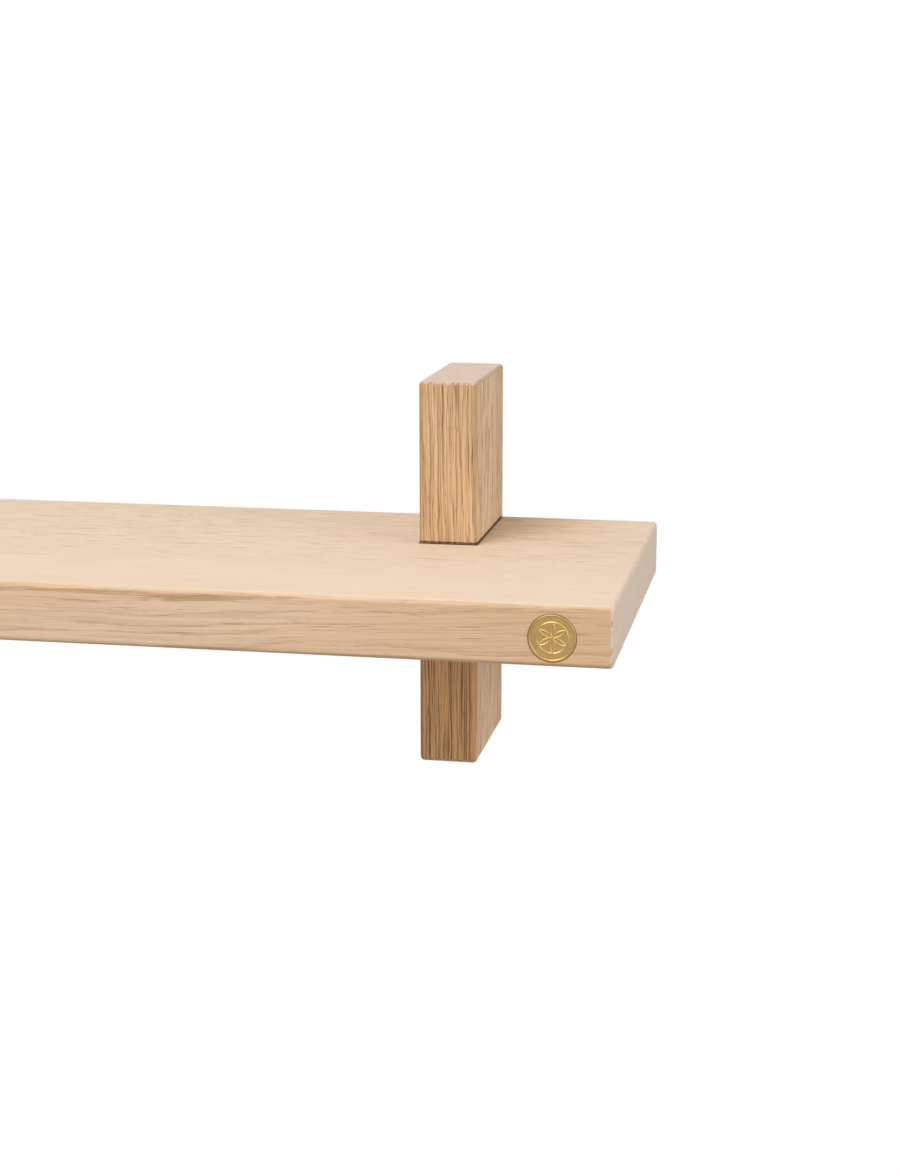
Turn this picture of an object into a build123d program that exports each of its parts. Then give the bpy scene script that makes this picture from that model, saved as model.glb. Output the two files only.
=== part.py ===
from build123d import *
import os

# Bicycle wall rack, in millimetres.
# Origin: middle of the shelf's back edge, on the wall plane y = 0, at half the shelf's thickness.
# +X runs along the shelf, +Y points into the wall and +Z points up.

# Oak shelf
shelf_length = 800
shelf_depth = 210
shelf_thickness = 30
arris = 2.5  # round-over on the outer edges of the oak

# Saddle slot in the middle of the shelf, open at the front edge
slot_width = 50
slot_depth = 110
slot_mouth_radius = 8
liner_thickness = 3
liner_height = 24
liner_setback = 12  # the leather stops this far behind the front edge
glue_gap = 0.1

# Oak posts, housed in the shelf's back edge
post_width = 31
post_depth = 84
post_rise = 86  # above the shelf
post_drop = 90  # below the shelf
post_end_gap = 87  # from the shelf's end to the post
housing = 4  # how far the post overlaps the shelf at its front and sides
shoulder_gap = 0.3  # shadow gap between the post's shoulders and the shelf's faces
shoulder_arris = 0.6

# Draw screw, driven from the back through the post's waist into the shelf
counterbore_radius = 6
counterbore_depth = 40
draw_screw_radius = 2.5
draw_screw_length = 70
draw_head_radius = 4.8
draw_head_height = 3.4
washer_radius = 5.6
washer_thickness = 1

# Keyhole hanger plate, let in flush in the post's back
plate_width = 16
plate_height = 50
plate_thickness = 2
plate_corner = 2
plate_z = 62
plate_gap = 0.2
keyhole_entry_radius = 5
keyhole_slot_radius = 2.5
keyhole_travel = 12  # from the slot's upper end down to the entry hole
hang_z = 68  # height of the wall screw when the rack hangs
pocket_radius = 6
pocket_depth = 9
hanger_screw_pitch = 38
hanger_screw_radius = 1.7
hanger_screw_length = 20
hanger_head_radius = 3.4

# Wall screw and nylon wall plug
wall_screw_radius = 2.15
wall_screw_length = 48
wall_head_radius = 4.3
wall_head_height = 2.8
wall_head_gap = 0.3  # between the hanger plate and the head
plug_radius = 4
plug_length = 42
plug_collar = 10  # plain length at the plug's mouth, before its ribs
plug_rib_pitch = 4
plug_rib_depth = 0.5
plug_split = 1.2

# Rubber wall pad near the foot of each post
pad_radius = 7
pad_thickness = 1.5
pad_z = -88

# Brass medallion in the front edge, near the right end
medallion_radius = 11.3
medallion_inset = 29  # from the shelf's right end to its centre
medallion_z = -1
medallion_thickness = 2.2
medallion_proud = 0.2
medallion_rim = 1.1
medallion_dish = 0.5
medallion_gap = 0.2
medallion_pin_radius = 1.5
medallion_pin_length = 6

clearance = 0.05  # around pins and screws in their own holes
overcut = 5  # how far a cutting tool starts outside the surface it cuts

half_thickness = shelf_thickness / 2
waist_width = post_width - 2 * housing
waist_depth = post_depth - housing
post_x = shelf_length / 2 - post_end_gap - post_width / 2
medallion_x = shelf_length / 2 - medallion_inset
sides = {"left": -1, "right": 1}


def rod(y_back, y_front, radius):
    """A cylinder along Y, from its back end to its front end."""
    return Pos(0, (y_back + y_front) / 2, 0) * Rot(90, 0, 0) * Cylinder(radius, y_back - y_front)


def turned(outline):
    """A solid turned about Z from (radius, height) points that start and end on the axis."""
    profile = Polyline(*[(radius, 0, height) for radius, height in outline], close=True)
    return revolve(make_face(profile), Axis.Z)


def cross_recess(width, depth, top):
    """The cross in a screw's head, cut from its top down."""
    blade = Pos(0, 0, top - depth) * Box(
        width, width / 4, depth + overcut, align=(Align.CENTER, Align.CENTER, Align.MIN)
    )
    return blade + Rot(0, 0, 90) * blade


def screw(shank_radius, length, head_radius, head):
    """A screw along Z: a head from its top's centre to its rim, then a shank down to its tip at -length."""
    point = [(shank_radius, 2.5 * shank_radius - length), (0.3, -length), (0, -length)]
    body = turned(head + point)
    return body - cross_recess(head_radius, head_radius / 2, head[0][1])


def pan_screw(shank_radius, length, head_radius, head_height):
    """A screw whose rounded head stands on z = 0."""
    crown = [(0, head_height), (0.6 * head_radius, head_height), (head_radius, head_height / 2)]
    return screw(shank_radius, length, head_radius, crown + [(head_radius, 0), (shank_radius, 0)])


def countersunk_screw(shank_radius, length, head_radius):
    """A screw whose flat head lies in z = 0, with a 90 degree cone below it."""
    cone = [(0, 0), (head_radius, 0), (shank_radius, shank_radius - head_radius)]
    return screw(shank_radius, length, head_radius, cone)


def slot_plan(inset, y_front):
    """The saddle slot's plan, drawn in by an inset: a channel from y_front with a round inner end."""
    radius = slot_width / 2 - inset
    y_centre = slot_depth - shelf_depth - slot_width / 2
    channel = Pos(0, (y_front + y_centre) / 2) * Rectangle(2 * radius, y_centre - y_front)
    return channel + Pos(0, y_centre) * Circle(radius)


def shelf():
    """One board with the saddle slot, a housing for each post and the medallion's seat."""
    plan = Pos(0, -shelf_depth / 2) * Rectangle(shelf_length, shelf_depth)
    plan -= slot_plan(0, -shelf_depth - overcut)
    mouth = [v for v in plan.vertices() if abs(v.X) < slot_width and v.Y < 1 - shelf_depth]
    plan = fillet(mouth, slot_mouth_radius)
    board = Pos(0, 0, -half_thickness) * extrude(plan, shelf_thickness)
    corners = [e for e in board.edges().filter_by(Axis.Z) if abs(e.center().X) > shelf_length / 2 - 1]
    levels = board.edges().group_by(Axis.Z)
    board = fillet(corners + list(levels[0]) + list(levels[-1]), arris)

    housing_y = (overcut - waist_depth) / 2
    thread_end = counterbore_depth + draw_screw_length - washer_thickness
    for side in sides.values():
        place = Pos(side * post_x, 0, 0)
        board -= place * Pos(0, housing_y, 0) * Box(waist_width, waist_depth + overcut, 2 * shelf_thickness)
        board -= place * rod(overcut - waist_depth, -thread_end - 1, draw_screw_radius + clearance)

    seat = medallion_thickness - medallion_proud - shelf_depth
    place = Pos(medallion_x, 0, medallion_z)
    board -= place * rod(seat, -shelf_depth - overcut, medallion_radius + medallion_gap)
    board -= place * rod(
        seat + medallion_pin_length + clearance, seat - overcut, medallion_pin_radius + clearance
    )
    return board


def post_block(height):
    """A post's squared block above z = 0, with a light arris on the end that seats on the shelf."""
    block = Pos(0, -post_depth / 2, height / 2) * Box(post_width, post_depth, height)
    uprights = list(block.edges().filter_by(Axis.Z))
    block = fillet(uprights + list(block.edges().group_by(Axis.Z)[-1]), arris)
    return fillet(block.edges().group_by(Axis.Z)[0], shoulder_arris)


def post():
    """One post, on x = 0: two blocks joined by the waist that goes into the shelf's housing."""
    seat = half_thickness + shoulder_gap
    upper = Pos(0, 0, seat) * post_block(post_rise - shoulder_gap)
    lower = Pos(0, 0, -seat) * mirror(post_block(post_drop - shoulder_gap), about=Plane.XY)
    waist = Pos(0, -waist_depth / 2, 0) * Box(waist_width, waist_depth, shelf_thickness + 2 * housing)
    body = upper + lower + waist

    body -= rod(overcut, -counterbore_depth, counterbore_radius)
    body -= rod(0, -post_depth, draw_screw_radius + 4 * clearance)
    recess = Box(plate_width + 2 * plate_gap, 2 * plate_thickness, plate_height + 2 * plate_gap)
    body -= Pos(0, 0, plate_z) * fillet(recess.edges().filter_by(Axis.Y), plate_corner)
    pocket = extrude(
        Plane.XZ * Rot(0, 0, 90) * SlotCenterToCenter(keyhole_travel, pocket_radius * 2), pocket_depth
    )
    body -= Pos(0, 0, hang_z - keyhole_travel / 2) * pocket
    for sense in (-1, 1):
        z = plate_z + sense * hanger_screw_pitch / 2
        body -= Pos(0, 0, z) * rod(0, -hanger_screw_length - 1, hanger_screw_radius + clearance)
    body -= Pos(0, 0, pad_z) * rod(overcut, -pad_thickness, pad_radius + plate_gap)
    return body


def hanger_plate():
    """The keyhole plate, on x = 0: an entry hole below, a narrow slot up from it and two screw holes."""
    face = Pos(0, plate_z) * RectangleRounded(plate_width, plate_height, plate_corner)
    face -= Pos(0, hang_z - keyhole_travel) * Circle(keyhole_entry_radius)
    neck = Rot(0, 0, 90) * SlotCenterToCenter(keyhole_travel, keyhole_slot_radius * 2)
    face -= Pos(0, hang_z - keyhole_travel / 2) * neck
    plate = extrude(Plane.XZ * face, plate_thickness)
    head = hanger_head_radius + clearance
    for sense in (-1, 1):
        z = plate_z + sense * hanger_screw_pitch / 2
        countersink = turned([(0, 1), (head + 1, 1), (0, -head)])
        plate -= Pos(0, 0, z) * Rot(-90, 0, 0) * countersink
        plate -= Pos(0, 0, z) * rod(overcut, -overcut, hanger_screw_radius + 2 * clearance)
    return plate


def wall_plug():
    """A ribbed nylon plug along +Y from the wall plane, split along most of its length."""
    outline = [(0, 0), (plug_radius, 0), (plug_radius, plug_collar)]
    y = plug_collar
    while y + plug_rib_pitch < plug_length - plug_rib_pitch:
        y += plug_rib_pitch
        outline += [(plug_radius - plug_rib_depth, y - plug_rib_depth), (plug_radius, y)]
    outline += [(0.7 * plug_radius, plug_length), (0, plug_length)]
    plug = Rot(-90, 0, 0) * turned(outline)
    plug -= rod(plug_length + overcut, -overcut, wall_screw_radius + clearance)
    gap = Pos(0, (plug_length + overcut + plug_collar) / 2, 0) * Box(
        4 * plug_radius, plug_length + overcut - plug_collar, plug_split
    )
    return plug - gap


def washer():
    """The draw screw's flat washer, at the bottom of the counterbore."""
    y = washer_thickness - counterbore_depth
    return rod(y, -counterbore_depth, washer_radius) - rod(overcut, -post_depth, draw_screw_radius + clearance)


def medallion():
    """A brass disc with a raised rim around a dished field, and a pin behind it."""
    face_y = -shelf_depth - medallion_proud
    back_y = face_y + medallion_thickness
    disc = rod(back_y, face_y, medallion_radius)
    disc -= rod(face_y + medallion_dish, face_y - overcut, medallion_radius - medallion_rim)
    rim = disc.faces().sort_by(Axis.Y)[0]
    disc = fillet(rim.edges(), medallion_rim / 4)
    disc += rod(back_y + medallion_pin_length, back_y - medallion_thickness / 2, medallion_pin_radius)
    return Pos(medallion_x, 0, medallion_z) * disc


def saddle_liner():
    """The leather strip glued round the saddle slot's wall."""
    y_front = liner_setback - shelf_depth
    plan = slot_plan(glue_gap, y_front) - slot_plan(liner_thickness, y_front - overcut)
    strip = Pos(0, 0, -liner_height / 2) * extrude(plan, liner_height)
    mouth = [e for e in strip.edges().filter_by(Axis.Z) if e.center().Y < y_front + 1]
    inner = [e for e in mouth if abs(e.center().X) < slot_width / 2 - 1]
    return fillet(inner, liner_thickness / 2)


def build():
    """Every piece of the rack in its place, by node name."""
    draw_screw = Rot(-90, 0, 0) * pan_screw(
        draw_screw_radius, draw_screw_length, draw_head_radius, draw_head_height
    )
    hanger_screw = Rot(-90, 0, 0) * countersunk_screw(
        hanger_screw_radius, hanger_screw_length, hanger_head_radius
    )
    wall_screw = Rot(90, 0, 0) * pan_screw(
        wall_screw_radius, wall_screw_length, wall_head_radius, wall_head_height
    )
    nodes = {"shelf": shelf(), "saddle_liner": saddle_liner(), "medallion": medallion()}
    for name, side in sides.items():
        place = Pos(side * post_x, 0, 0)
        nodes[f"post_{name}"] = place * post()
        nodes[f"draw_screw_{name}"] = place * Pos(0, washer_thickness - counterbore_depth, 0) * draw_screw
        nodes[f"draw_washer_{name}"] = place * washer()
        nodes[f"hanger_plate_{name}"] = place * hanger_plate()
        for level, sense in {"upper": 1, "lower": -1}.items():
            z = plate_z + sense * hanger_screw_pitch / 2
            nodes[f"hanger_screw_{name}_{level}"] = place * Pos(0, -clearance, z) * hanger_screw
        nodes[f"wall_screw_{name}"] = place * Pos(0, -plate_thickness - wall_head_gap, hang_z) * wall_screw
        nodes[f"wall_plug_{name}"] = place * Pos(0, 0, hang_z) * wall_plug()
        nodes[f"wall_pad_{name}"] = place * Pos(0, 0, pad_z) * rod(0, -pad_thickness, pad_radius)
    return nodes


os.makedirs("parts", exist_ok=True)
for node, solid in build().items():
    export_step(solid, f"parts/{node}.step")
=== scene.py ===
"""Looks of the oak bicycle wall rack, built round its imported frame.

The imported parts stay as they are.  Oak, steel and nylon parts keep their shape and get their finish here, and
the brass medallion, the leather strip and the rubber pads are surfaces worked out with numpy.
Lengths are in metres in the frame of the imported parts: +X along the shelf, +Y into the wall, +Z up.
"""

import logging
import math
from dataclasses import dataclass
from enum import Enum
from functools import reduce
from typing import Any, Iterable, Sequence

import bpy
import bmesh
import numpy as np
from mathutils import Matrix, Vector


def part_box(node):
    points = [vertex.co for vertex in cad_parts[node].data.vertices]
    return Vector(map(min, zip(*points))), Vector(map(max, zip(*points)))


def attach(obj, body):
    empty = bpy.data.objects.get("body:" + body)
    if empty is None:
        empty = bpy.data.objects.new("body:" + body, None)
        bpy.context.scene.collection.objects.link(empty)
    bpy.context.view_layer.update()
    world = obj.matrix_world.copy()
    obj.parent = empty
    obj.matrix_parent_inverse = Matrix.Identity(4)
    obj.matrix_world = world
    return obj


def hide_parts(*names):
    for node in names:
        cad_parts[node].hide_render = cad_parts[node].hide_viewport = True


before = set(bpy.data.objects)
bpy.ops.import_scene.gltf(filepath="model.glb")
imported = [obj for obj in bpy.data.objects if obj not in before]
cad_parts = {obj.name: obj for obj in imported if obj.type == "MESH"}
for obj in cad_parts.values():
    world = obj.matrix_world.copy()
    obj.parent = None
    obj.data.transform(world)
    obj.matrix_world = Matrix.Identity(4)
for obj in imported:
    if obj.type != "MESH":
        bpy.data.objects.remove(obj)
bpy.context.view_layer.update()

MM = 0.001
POLE_GAP = 0.001 * MM  # points nearer to each other than this are one
log = logging.getLogger("rack")

Colour = tuple[float, float, float]
Triple = tuple[float, float, float]
Span = tuple[float, float]
Socket = bpy.types.NodeSocket

X_AXIS: Triple = (1.0, 0.0, 0.0)
Y_AXIS: Triple = (0.0, 1.0, 0.0)
Z_AXIS: Triple = (0.0, 0.0, 1.0)


class Side(Enum):
    """The two ends of the rack, as seen from the room."""

    LEFT = "left"
    RIGHT = "right"


class Grain(Enum):
    """The way that a board's fibres run, as the turn that lays them along X."""

    ALONG_SHELF = (0.0, 0.0, 0.0)
    UPRIGHT = (0.0, math.pi / 2, 0.0)


def placed(name: str, data: bpy.types.ID) -> bpy.types.Object:
    """Puts a mesh, a light or a camera into the scene."""
    made = bpy.data.objects.new(name, data)
    bpy.context.scene.collection.objects.link(made)
    return made


def beyond(place: float, span: Span) -> Span:
    """A span that is given from a place on."""
    return place + span[0], place + span[1]


# ---- Node trees


class Graph:
    """Writes a shader node tree step by step; a step returns the new node's output."""

    def __init__(self, tree: bpy.types.NodeTree) -> None:
        """Starts on a tree.

        Args:
            tree: the node tree that the steps are added to.
        """
        self.tree = tree

    @classmethod
    def blank(cls, block: bpy.types.Material | bpy.types.World) -> "Graph":
        """Empties the tree of a material or a world and starts on it."""
        block.use_nodes = True
        block.node_tree.nodes.clear()
        return cls(block.node_tree)

    def node(self, kind: str, **settings: Any) -> bpy.types.Node:
        """Adds a node.

        Args:
            kind: the node's type name.
            settings: its properties by name.

        Returns:
            The node.
        """
        made = self.tree.nodes.new(kind)
        for name, value in settings.items():
            setattr(made, name, value)
        return made

    def feed(self, socket: Socket, value: Any) -> None:
        """Links a socket to an output, or sets it where the value is a plain one.

        Args:
            socket: the input to feed.
            value: an output socket, a number, a vector or a colour.
        """
        if isinstance(value, bpy.types.NodeSocket):
            self.tree.links.new(value, socket)
        elif socket.type == "RGBA":
            socket.default_value = (*value[:3], 1.0)
        else:
            socket.default_value = value

    def step(self, kind: str, values: Any, output: int | str = 0, **settings: Any) -> Socket:
        """Adds a node, feeds its inputs and gives one of its outputs.

        Args:
            kind: the node's type name.
            values: what its inputs are fed with, in order or by name.
            output: which output is given, by place or name.
            settings: its properties by name.

        Returns:
            The output.
        """
        made = self.node(kind, **settings)
        for key, value in values.items() if isinstance(values, dict) else enumerate(values):
            self.feed(made.inputs[key], value)
        return made.outputs[output]

    def math(self, operation: str, *values: Any) -> Socket:
        """One Math node; gives its value."""
        return self.step("ShaderNodeMath", values, operation=operation)

    def plus(self, first: Any, second: Any) -> Socket:
        """Adds two numbers."""
        return self.math("ADD", first, second)

    def minus(self, first: Any, second: Any) -> Socket:
        """Takes the second number from the first."""
        return self.math("SUBTRACT", first, second)

    def times(self, *values: Any) -> Socket:
        """Multiplies two or more numbers."""
        return reduce(lambda first, second: self.math("MULTIPLY", first, second), values)

    def most(self, *values: Any) -> Socket:
        """The largest of two or more numbers."""
        return reduce(lambda first, second: self.math("MAXIMUM", first, second), values)

    def vector(self, operation: str, *values: Any) -> Socket:
        """One Vector Math node; gives its vector."""
        return self.step("ShaderNodeVectorMath", values, operation=operation)

    def scaled(self, vector: Any, stretch: Any) -> Socket:
        """Multiplies a vector by its own factor along each axis."""
        return self.vector("MULTIPLY", vector, stretch)

    def measure(self, operation: str, *values: Any) -> Socket:
        """One Vector Math node whose result is a number, such as LENGTH; gives that number."""
        return self.step("ShaderNodeVectorMath", values, "Value", operation=operation)

    def parts(self, vector: Any) -> tuple[Socket, ...]:
        """Splits a vector into its three numbers."""
        made = self.node("ShaderNodeSeparateXYZ")
        self.feed(made.inputs[0], vector)
        return tuple(made.outputs)

    def joined(self, *values: Any) -> Socket:
        """Joins three numbers into a vector."""
        return self.step("ShaderNodeCombineXYZ", values)

    def noise(self, vector: Any, detail: float = 2.0, roughness: float = 0.5, colour: bool = False) -> Socket:
        """Smooth noise with features about one unit of the vector apart.

        Args:
            vector: where it is read, already stretched to the size that it should have.
            detail: how many finer layers are added.
            roughness: how strong those are.
            colour: gives three separate noises as a colour.

        Returns:
            The noise, from 0 to 1.
        """
        values = {"Vector": vector, "Scale": 1.0, "Detail": detail, "Roughness": roughness}
        return self.step("ShaderNodeTexNoise", values, 1 if colour else 0, noise_dimensions="3D")

    def cells(self, vector: Any) -> bpy.types.Node:
        """A Voronoi node with cells about one unit of the vector apart.

        Args:
            vector: where it is read.

        Returns:
            The node.
        """
        made = self.node("ShaderNodeTexVoronoi", voronoi_dimensions="3D", feature="F1")
        self.feed(made.inputs["Vector"], vector)
        made.inputs["Scale"].default_value = 1.0
        return made

    def between(self, value: Any, span: Span, first: Any = 0.0, last: Any = 1.0) -> Socket:
        """Eases from first to last as the value goes from one end of the span to the other."""
        return self.step("ShaderNodeMapRange", (value, *span, first, last), interpolation_type="SMOOTHSTEP")

    def mix(self, factor: Any, first: Any, second: Any, blend: str = "MIX") -> Socket:
        """Mixes two colours.

        Args:
            factor: how much of the second is taken.
            first: a colour or an output.
            second: a colour or an output.
            blend: the way that they are mixed.

        Returns:
            The mixed colour.
        """
        made = self.node("ShaderNodeMix", data_type="RGBA", blend_type=blend, clamp_factor=True)
        colours = [s for s in made.inputs if s.type == "RGBA"]
        self.feed(made.inputs[0], factor)
        self.feed(colours[0], first)
        self.feed(colours[1], second)
        return next(s for s in made.outputs if s.type == "RGBA")

    def tinted(self, factor: Any, colour: Any, tint: Any) -> Socket:
        """Multiplies a colour by a tint, by as much as the factor says."""
        return self.mix(factor, colour, self.mix(1.0, colour, tint, "MULTIPLY"))

    def curve(self, value: Any, stops: Sequence[Span]) -> Socket:
        """Reads a number off a ramp.

        Args:
            value: where it is read, from 0 to 1.
            stops: the ramp's places and heights.

        Returns:
            The height there.
        """
        made = self.node("ShaderNodeValToRGB")
        ramp = made.color_ramp
        while len(ramp.elements) < len(stops):
            ramp.elements.new(0.5)
        for element, (place, height) in zip(ramp.elements, stops):
            element.position = place
            element.color = (height, height, height, 1.0)
        self.feed(made.inputs[0], value)
        return made.outputs[0]

    def bump(self, height: Any, depth: float, strength: float = 1.0) -> Socket:
        """Turns a height from 0 to 1 into a normal.

        Args:
            height: the height map.
            depth: what a height of 1 stands for, in metres.
            strength: the share of the effect that is used.

        Returns:
            The normal.
        """
        return self.step("ShaderNodeBump", {"Strength": strength, "Distance": depth, "Height": height})


class Effect:
    """A node group with named inputs and outputs, built once and placed in any material."""

    name: str = ""
    inputs: dict[str, Any] = {}
    outputs: tuple[str, ...] = ()

    def draw(self, graph: Graph, given: dict[str, Socket]) -> dict[str, Socket]:
        """Writes the group's nodes.

        Args:
            graph: the group's own tree.
            given: its input sockets by name.

        Returns:
            What each named output is fed with.
        """
        raise NotImplementedError

    def tree(self) -> bpy.types.NodeTree:
        """The group's tree, written the first time that it is asked for.

        Returns:
            The tree.
        """
        found = bpy.data.node_groups.get(self.name)
        if found:
            return found
        tree = bpy.data.node_groups.new(self.name, "ShaderNodeTree")
        for label, value in self.inputs.items():
            kind = "NodeSocketVector" if isinstance(value, tuple) else "NodeSocketFloat"
            socket = tree.interface.new_socket(name=label, in_out="INPUT", socket_type=kind)
            socket.default_value = value
        for label in self.outputs:
            tree.interface.new_socket(name=label, in_out="OUTPUT", socket_type="NodeSocketFloat")
        graph = Graph(tree)
        entry = graph.node("NodeGroupInput")
        leave = graph.node("NodeGroupOutput")
        made = self.draw(graph, {label: entry.outputs[label] for label in self.inputs})
        for label, value in made.items():
            graph.feed(leave.inputs[label], value)
        return tree

    def use(self, graph: Graph, values: dict[str, Any]) -> Any:
        """Places the group in a material.

        Args:
            graph: the material's tree.
            values: what the group's inputs are fed with, by name.

        Returns:
            The placed group's outputs.
        """
        made = graph.node("ShaderNodeGroup", node_tree=self.tree())
        for label, value in values.items():
            graph.feed(made.inputs[label], value)
        return made.outputs


class OakGrain(Effect):
    """Oak in the round: its fibres run along X and its growth rings lie round the X axis, all in millimetres.

    A ring's place is the distance from the X axis, moved by slow drift and by a shorter waver.  Early wood is
    the narrow start of each ring and comes and goes along the board.  Streaks and lines are spindles of open
    grain, and pores are short dashes that are kept mostly in early wood.  A stretch says how many features
    there are to a millimetre along the fibres and the two ways across them.
    """

    name = "oak_grain"
    inputs = {"Vector": (0.0, 0.0, 0.0), "Ring Width": 2.6, "Drift": 5.0, "Waver": 2.0, "Broken": 0.8}
    outputs = ("Early", "Streaks", "Lines", "Pores", "Fibre", "Tone", "Patch", "Rays")

    drift_stretch = (0.005, 0.02, 0.03)
    waver_stretch = (0.032, 0.06, 0.22)
    patch_stretch = (0.022, 0.07, 0.3)
    fibre_stretch = (0.016, 0.35, 1.7)
    tone_stretch = (0.006, 0.02, 0.05)
    ring_curve = ((0.0, 0.0), (0.06, 1.0), (0.2, 0.6), (0.4, 0.12), (1.0, 0.0))
    ring_spread = (0.45, 2.2)  # how often the rings' width changes, and by how many rings
    faded = (0.4, 0.58)
    ray_count = 230.0
    ray_length = 0.09
    ray_edge = (0.56, 0.72)
    # Each kind of spindle: its stretch, its soft edge as shares of a cell, and the share of cells with one.
    short_streak = ((0.022, 0.2, 0.6), (0.06, 0.24), 0.8)
    long_streak = ((0.009, 0.12, 0.38), (0.04, 0.18), 0.9)
    line = ((0.004, 0.05, 0.95), (0.22, 0.42), 1.0)
    pore = ((0.11, 0.6, 1.9), (0.14, 0.32))
    pore_share = (0.08, 0.75)  # outside early wood, and what early wood adds

    def spindles(self, graph: Graph, place: Socket, stretch: Triple, edge: Span, share: Any) -> Socket:
        """Draws one long spot in each of a share of the cells.

        Args:
            graph: the group's own tree.
            place: where the cells are read.
            stretch: how many cells there are to a millimetre.
            edge: where a spot's soft edge starts and ends.
            share: the share of the cells that have a spot.

        Returns:
            The spots, from 0 to 1.
        """
        cells = graph.cells(graph.scaled(place, stretch))
        spot = graph.between(cells.outputs["Distance"], edge, 1.0, 0.0)
        chance = graph.parts(cells.outputs["Color"])[0]
        return graph.times(spot, graph.math("LESS_THAN", chance, share))

    def draw(self, graph: Graph, given: dict[str, Socket]) -> dict[str, Socket]:
        """Writes rings, spindles, pores, fibres, slow tone and end-grain rays.

        Args:
            graph: the group's own tree.
            given: its input sockets by name.

        Returns:
            What each named output is fed with.
        """
        place = bent = given["Vector"]
        swings = ((self.drift_stretch, 1.0, given["Drift"]), (self.waver_stretch, 2.0, given["Waver"]))
        for stretch, detail, reach in swings:
            swing = graph.noise(graph.scaled(place, stretch), detail, colour=True)
            swing = graph.vector("SUBTRACT", swing, (0.5, 0.5, 0.5))
            bent = graph.vector("ADD", bent, graph.scaled(swing, graph.joined(0.0, reach, reach)))
        radius = graph.measure("LENGTH", graph.scaled(bent, (0.0, 1.0, 1.0)))
        years = graph.math("DIVIDE", radius, given["Ring Width"])
        often, reach = self.ring_spread
        uneven = graph.noise(graph.joined(graph.times(years, often), 0.0, 0.0), 1.0)
        years = graph.plus(years, graph.times(uneven, reach))
        ring = graph.curve(graph.math("FRACT", years), self.ring_curve)
        patch = graph.noise(graph.scaled(bent, self.patch_stretch))
        whole = graph.minus(1.0, given["Broken"])
        streaks = [self.spindles(graph, bent, *kind) for kind in (self.long_streak, self.short_streak)]
        outside, added = self.pore_share
        _, y, z = graph.parts(bent)
        turn = graph.times(graph.math("ARCTAN2", z, y), self.ray_count)
        rays = graph.noise(graph.joined(turn, graph.times(radius, self.ray_length), 0.0), 1.0)
        return {
            "Early": graph.times(ring, graph.between(patch, self.faded, whole, 1.0)),
            "Streaks": graph.most(*streaks),
            "Lines": self.spindles(graph, bent, *self.line),
            "Pores": self.spindles(graph, bent, *self.pore, graph.plus(graph.times(ring, added), outside)),
            "Fibre": graph.noise(graph.scaled(bent, self.fibre_stretch), 4.0, 0.65),
            "Tone": graph.noise(graph.scaled(place, self.tone_stretch)),
            "Patch": patch,
            "Rays": graph.between(rays, self.ray_edge),
        }


class Facing(Effect):
    """How squarely a surface faces along an axis, from 0 to 1, and whether it lies on a round-over."""

    name = "facing"
    inputs = {"Normal": Z_AXIS, "Axis": X_AXIS, "Ragged": 0.0}
    outputs = ("Along", "Arris")
    facing = (0.3, 0.6)
    rounded = (0.8, 0.99)

    def draw(self, graph: Graph, given: dict[str, Socket]) -> dict[str, Socket]:
        """Writes the size of the normal's part along the axis, eased, and the lack of any square part.

        Args:
            graph: the group's own tree.
            given: its input sockets by name.

        Returns:
            What each named output is fed with.
        """
        along = graph.math("ABSOLUTE", graph.measure("DOT_PRODUCT", given["Normal"], given["Axis"]))
        along = graph.plus(along, given["Ragged"])
        largest = graph.most(*graph.parts(graph.vector("ABSOLUTE", given["Normal"])))
        return {
            "Along": graph.between(along, self.facing),
            "Arris": graph.between(largest, self.rounded, 1.0, 0.0),
        }


class Scuffs(Effect):
    """Fine handling marks on metal, plastic and leather: soft blotches and thin crossing lines."""

    name = "scuffs"
    inputs = {"Vector": (0.0, 0.0, 0.0), "Size": 1.0}
    outputs = ("Blotch", "Lines", "Speckle")
    blotch_stretch = (0.25, 0.25, 0.25)
    line_stretches = ((0.12, 1.4, 0.9), (1.2, 0.8, 0.1))
    line_edge = (0.0, 0.012)
    speckle_stretch = (4.0, 4.0, 4.0)

    def draw(self, graph: Graph, given: dict[str, Socket]) -> dict[str, Socket]:
        """Writes slow noise, thin ridges of two stretched noises and fine noise, sized in metres.

        Args:
            graph: the group's own tree.
            given: its input sockets by name.

        Returns:
            What each named output is fed with.
        """
        place = graph.vector("DIVIDE", given["Vector"], graph.joined(*[given["Size"]] * 3))
        ridges = []
        for stretch in self.line_stretches:
            level = graph.math("ABSOLUTE", graph.minus(graph.noise(graph.scaled(place, stretch)), 0.5))
            ridges.append(graph.between(level, self.line_edge, 1.0, 0.0))
        return {
            "Blotch": graph.noise(graph.scaled(place, self.blotch_stretch), 3.0),
            "Lines": graph.most(*ridges),
            "Speckle": graph.noise(graph.scaled(place, self.speckle_stretch), 2.0, 0.7),
        }


# ---- Finishes


@dataclass(frozen=True)
class Finish:
    """What every finish starts from: a named material with one Principled shader on Object coordinates."""

    name: str

    def shade(self, graph: Graph, place: Any) -> dict[str, Any]:
        """Writes the finish's nodes.

        Args:
            graph: the material's tree.
            place: the outputs of its Texture Coordinate node.

        Returns:
            What the shader's inputs are fed with, by name.
        """
        raise NotImplementedError

    def material(self) -> bpy.types.Material:
        """Feeds a Principled shader with the finish.

        Returns:
            The finished material.
        """
        material = bpy.data.materials.new(self.name)
        graph = Graph.blank(material)
        values = self.shade(graph, graph.node("ShaderNodeTexCoord").outputs)
        out = graph.node("ShaderNodeOutputMaterial")
        graph.feed(out.inputs["Surface"], graph.step("ShaderNodeBsdfPrincipled", values))
        return material


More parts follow.
